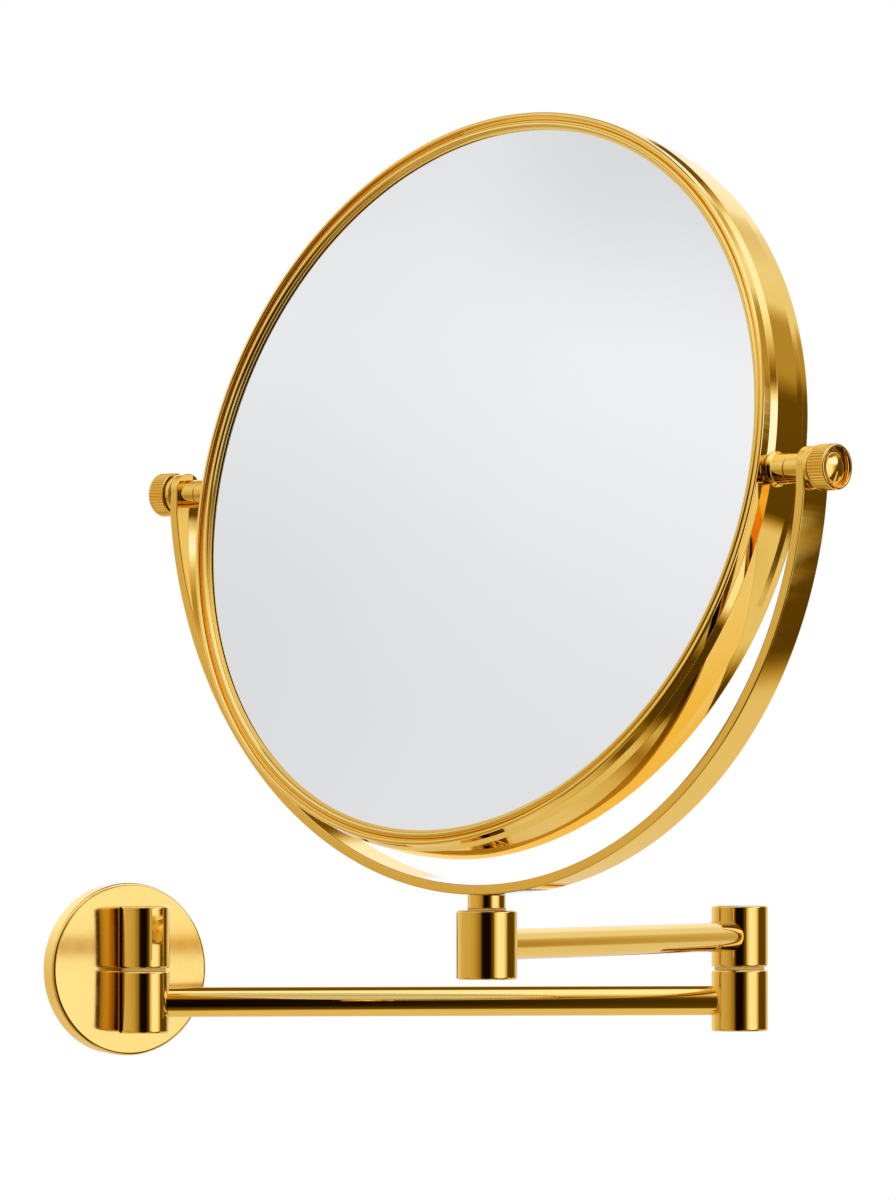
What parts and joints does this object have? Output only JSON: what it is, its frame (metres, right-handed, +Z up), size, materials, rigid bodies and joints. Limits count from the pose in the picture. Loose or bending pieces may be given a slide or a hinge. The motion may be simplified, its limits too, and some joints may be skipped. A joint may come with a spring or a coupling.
{
  "type": "magnifying mirror",
  "caption": "Round magnifying mirror in a polished gold frame, held in a yoke with knurled clamp knobs on a folding double swing arm with a round wall plate.",
  "frame": {"origin": "centre of the wall plate's back, on the wall plane", "axes": "+Z up, +Y into the wall, +X to the right of a person who faces the wall; the arms swing out on the -Y side"},
  "size_m": [0.2235, 0.3456, 0.2996],
  "materials": {
    "polished_gold": "polished gold plate on brass",
    "mirror_glass": "silvered glass",
    "plain_steel": "zinc-plated steel",
    "nylon_washer": "moulded nylon",
    "inner_plastic": "foamed plastic"
  },
  "bodies": {
    "wall_mount": {"wall_plate": "polished_gold", "wall_bracket": "plain_steel", "plate_grub_screw": "plain_steel", "barrel_fixing_screw_top": "plain_steel", "barrel_fixing_screw_bottom": "plain_steel", "wall_upper_barrel": "polished_gold", "wall_pivot_bolt": "plain_steel", "wall_friction_washer": "nylon_washer"},
    "lower_arm": {"wall_lower_barrel": "polished_gold", "wall_spring_washer": "plain_steel", "wall_barrel_cap": "polished_gold", "lower_arm_tube": "polished_gold", "elbow_lower_barrel": "polished_gold", "elbow_friction_washer": "nylon_washer", "elbow_barrel_cap": "polished_gold"},
    "upper_arm": {"elbow_upper_barrel": "polished_gold", "elbow_pivot_bolt": "plain_steel", "elbow_spring_washer": "plain_steel", "upper_arm_tube": "polished_gold", "post_barrel": "polished_gold", "post_barrel_cap": "polished_gold"},
    "yoke": {"yoke": "polished_gold", "yoke_stem": "polished_gold", "stem_thrust_washer": "nylon_washer", "stem_spring_washer": "plain_steel", "stem_screw": "plain_steel", "right_ear_bush": "polished_gold", "left_ear_bush": "polished_gold", "right_knob_washer": "polished_gold", "left_knob_washer": "polished_gold"},
    "mirror_head": {"frame_band": "polished_gold", "front_bezel": "polished_gold", "rear_bezel": "polished_gold", "front_mirror": "mirror_glass", "rear_mirror": "mirror_glass", "backing_sheet": "inner_plastic", "mirror_spacer_ring": "inner_plastic", "right_boss": "polished_gold", "left_boss": "polished_gold"},
    "right_knob": {"right_knob": "polished_gold"},
    "left_knob": {"left_knob": "polished_gold"}
  },
  "joints": [
    {"name": "wall_swivel", "type": "hinge", "parent": "wall_mount", "child": "lower_arm", "pos_m": [0, -0.017, 0], "axis": [0, 0, 1], "range_deg": [-157.5, 22.5]},
    {"name": "elbow_swivel", "type": "hinge", "parent": "lower_arm", "child": "upper_arm", "pos_m": [0.18478, -0.09354, 0], "axis": [0, 0, 1], "range_deg": [-42.5, 287.5]},
    {"name": "yoke_swivel", "type": "hinge", "parent": "upper_arm", "child": "yoke", "pos_m": [0.02094, -0.20825, 0], "axis": [0, 0, 1], "continuous": true},
    {"name": "mirror_tilt", "type": "hinge", "parent": "yoke", "child": "mirror_head", "pos_m": [0.02094, -0.20825, 0.1548], "axis": [0.3024, -0.9532, 0], "continuous": true},
    {"name": "right_knob_turn", "type": "hinge", "parent": "mirror_head", "child": "right_knob", "pos_m": [0.06267, -0.33979, 0.1548], "axis": [0.3024, -0.9532, 0], "range_deg": [0, 180]},
    {"name": "left_knob_turn", "type": "hinge", "parent": "mirror_head", "child": "left_knob", "pos_m": [-0.02078, -0.07671, 0.1548], "axis": [-0.3024, 0.9532, 0], "range_deg": [0, 180]}
  ]
}
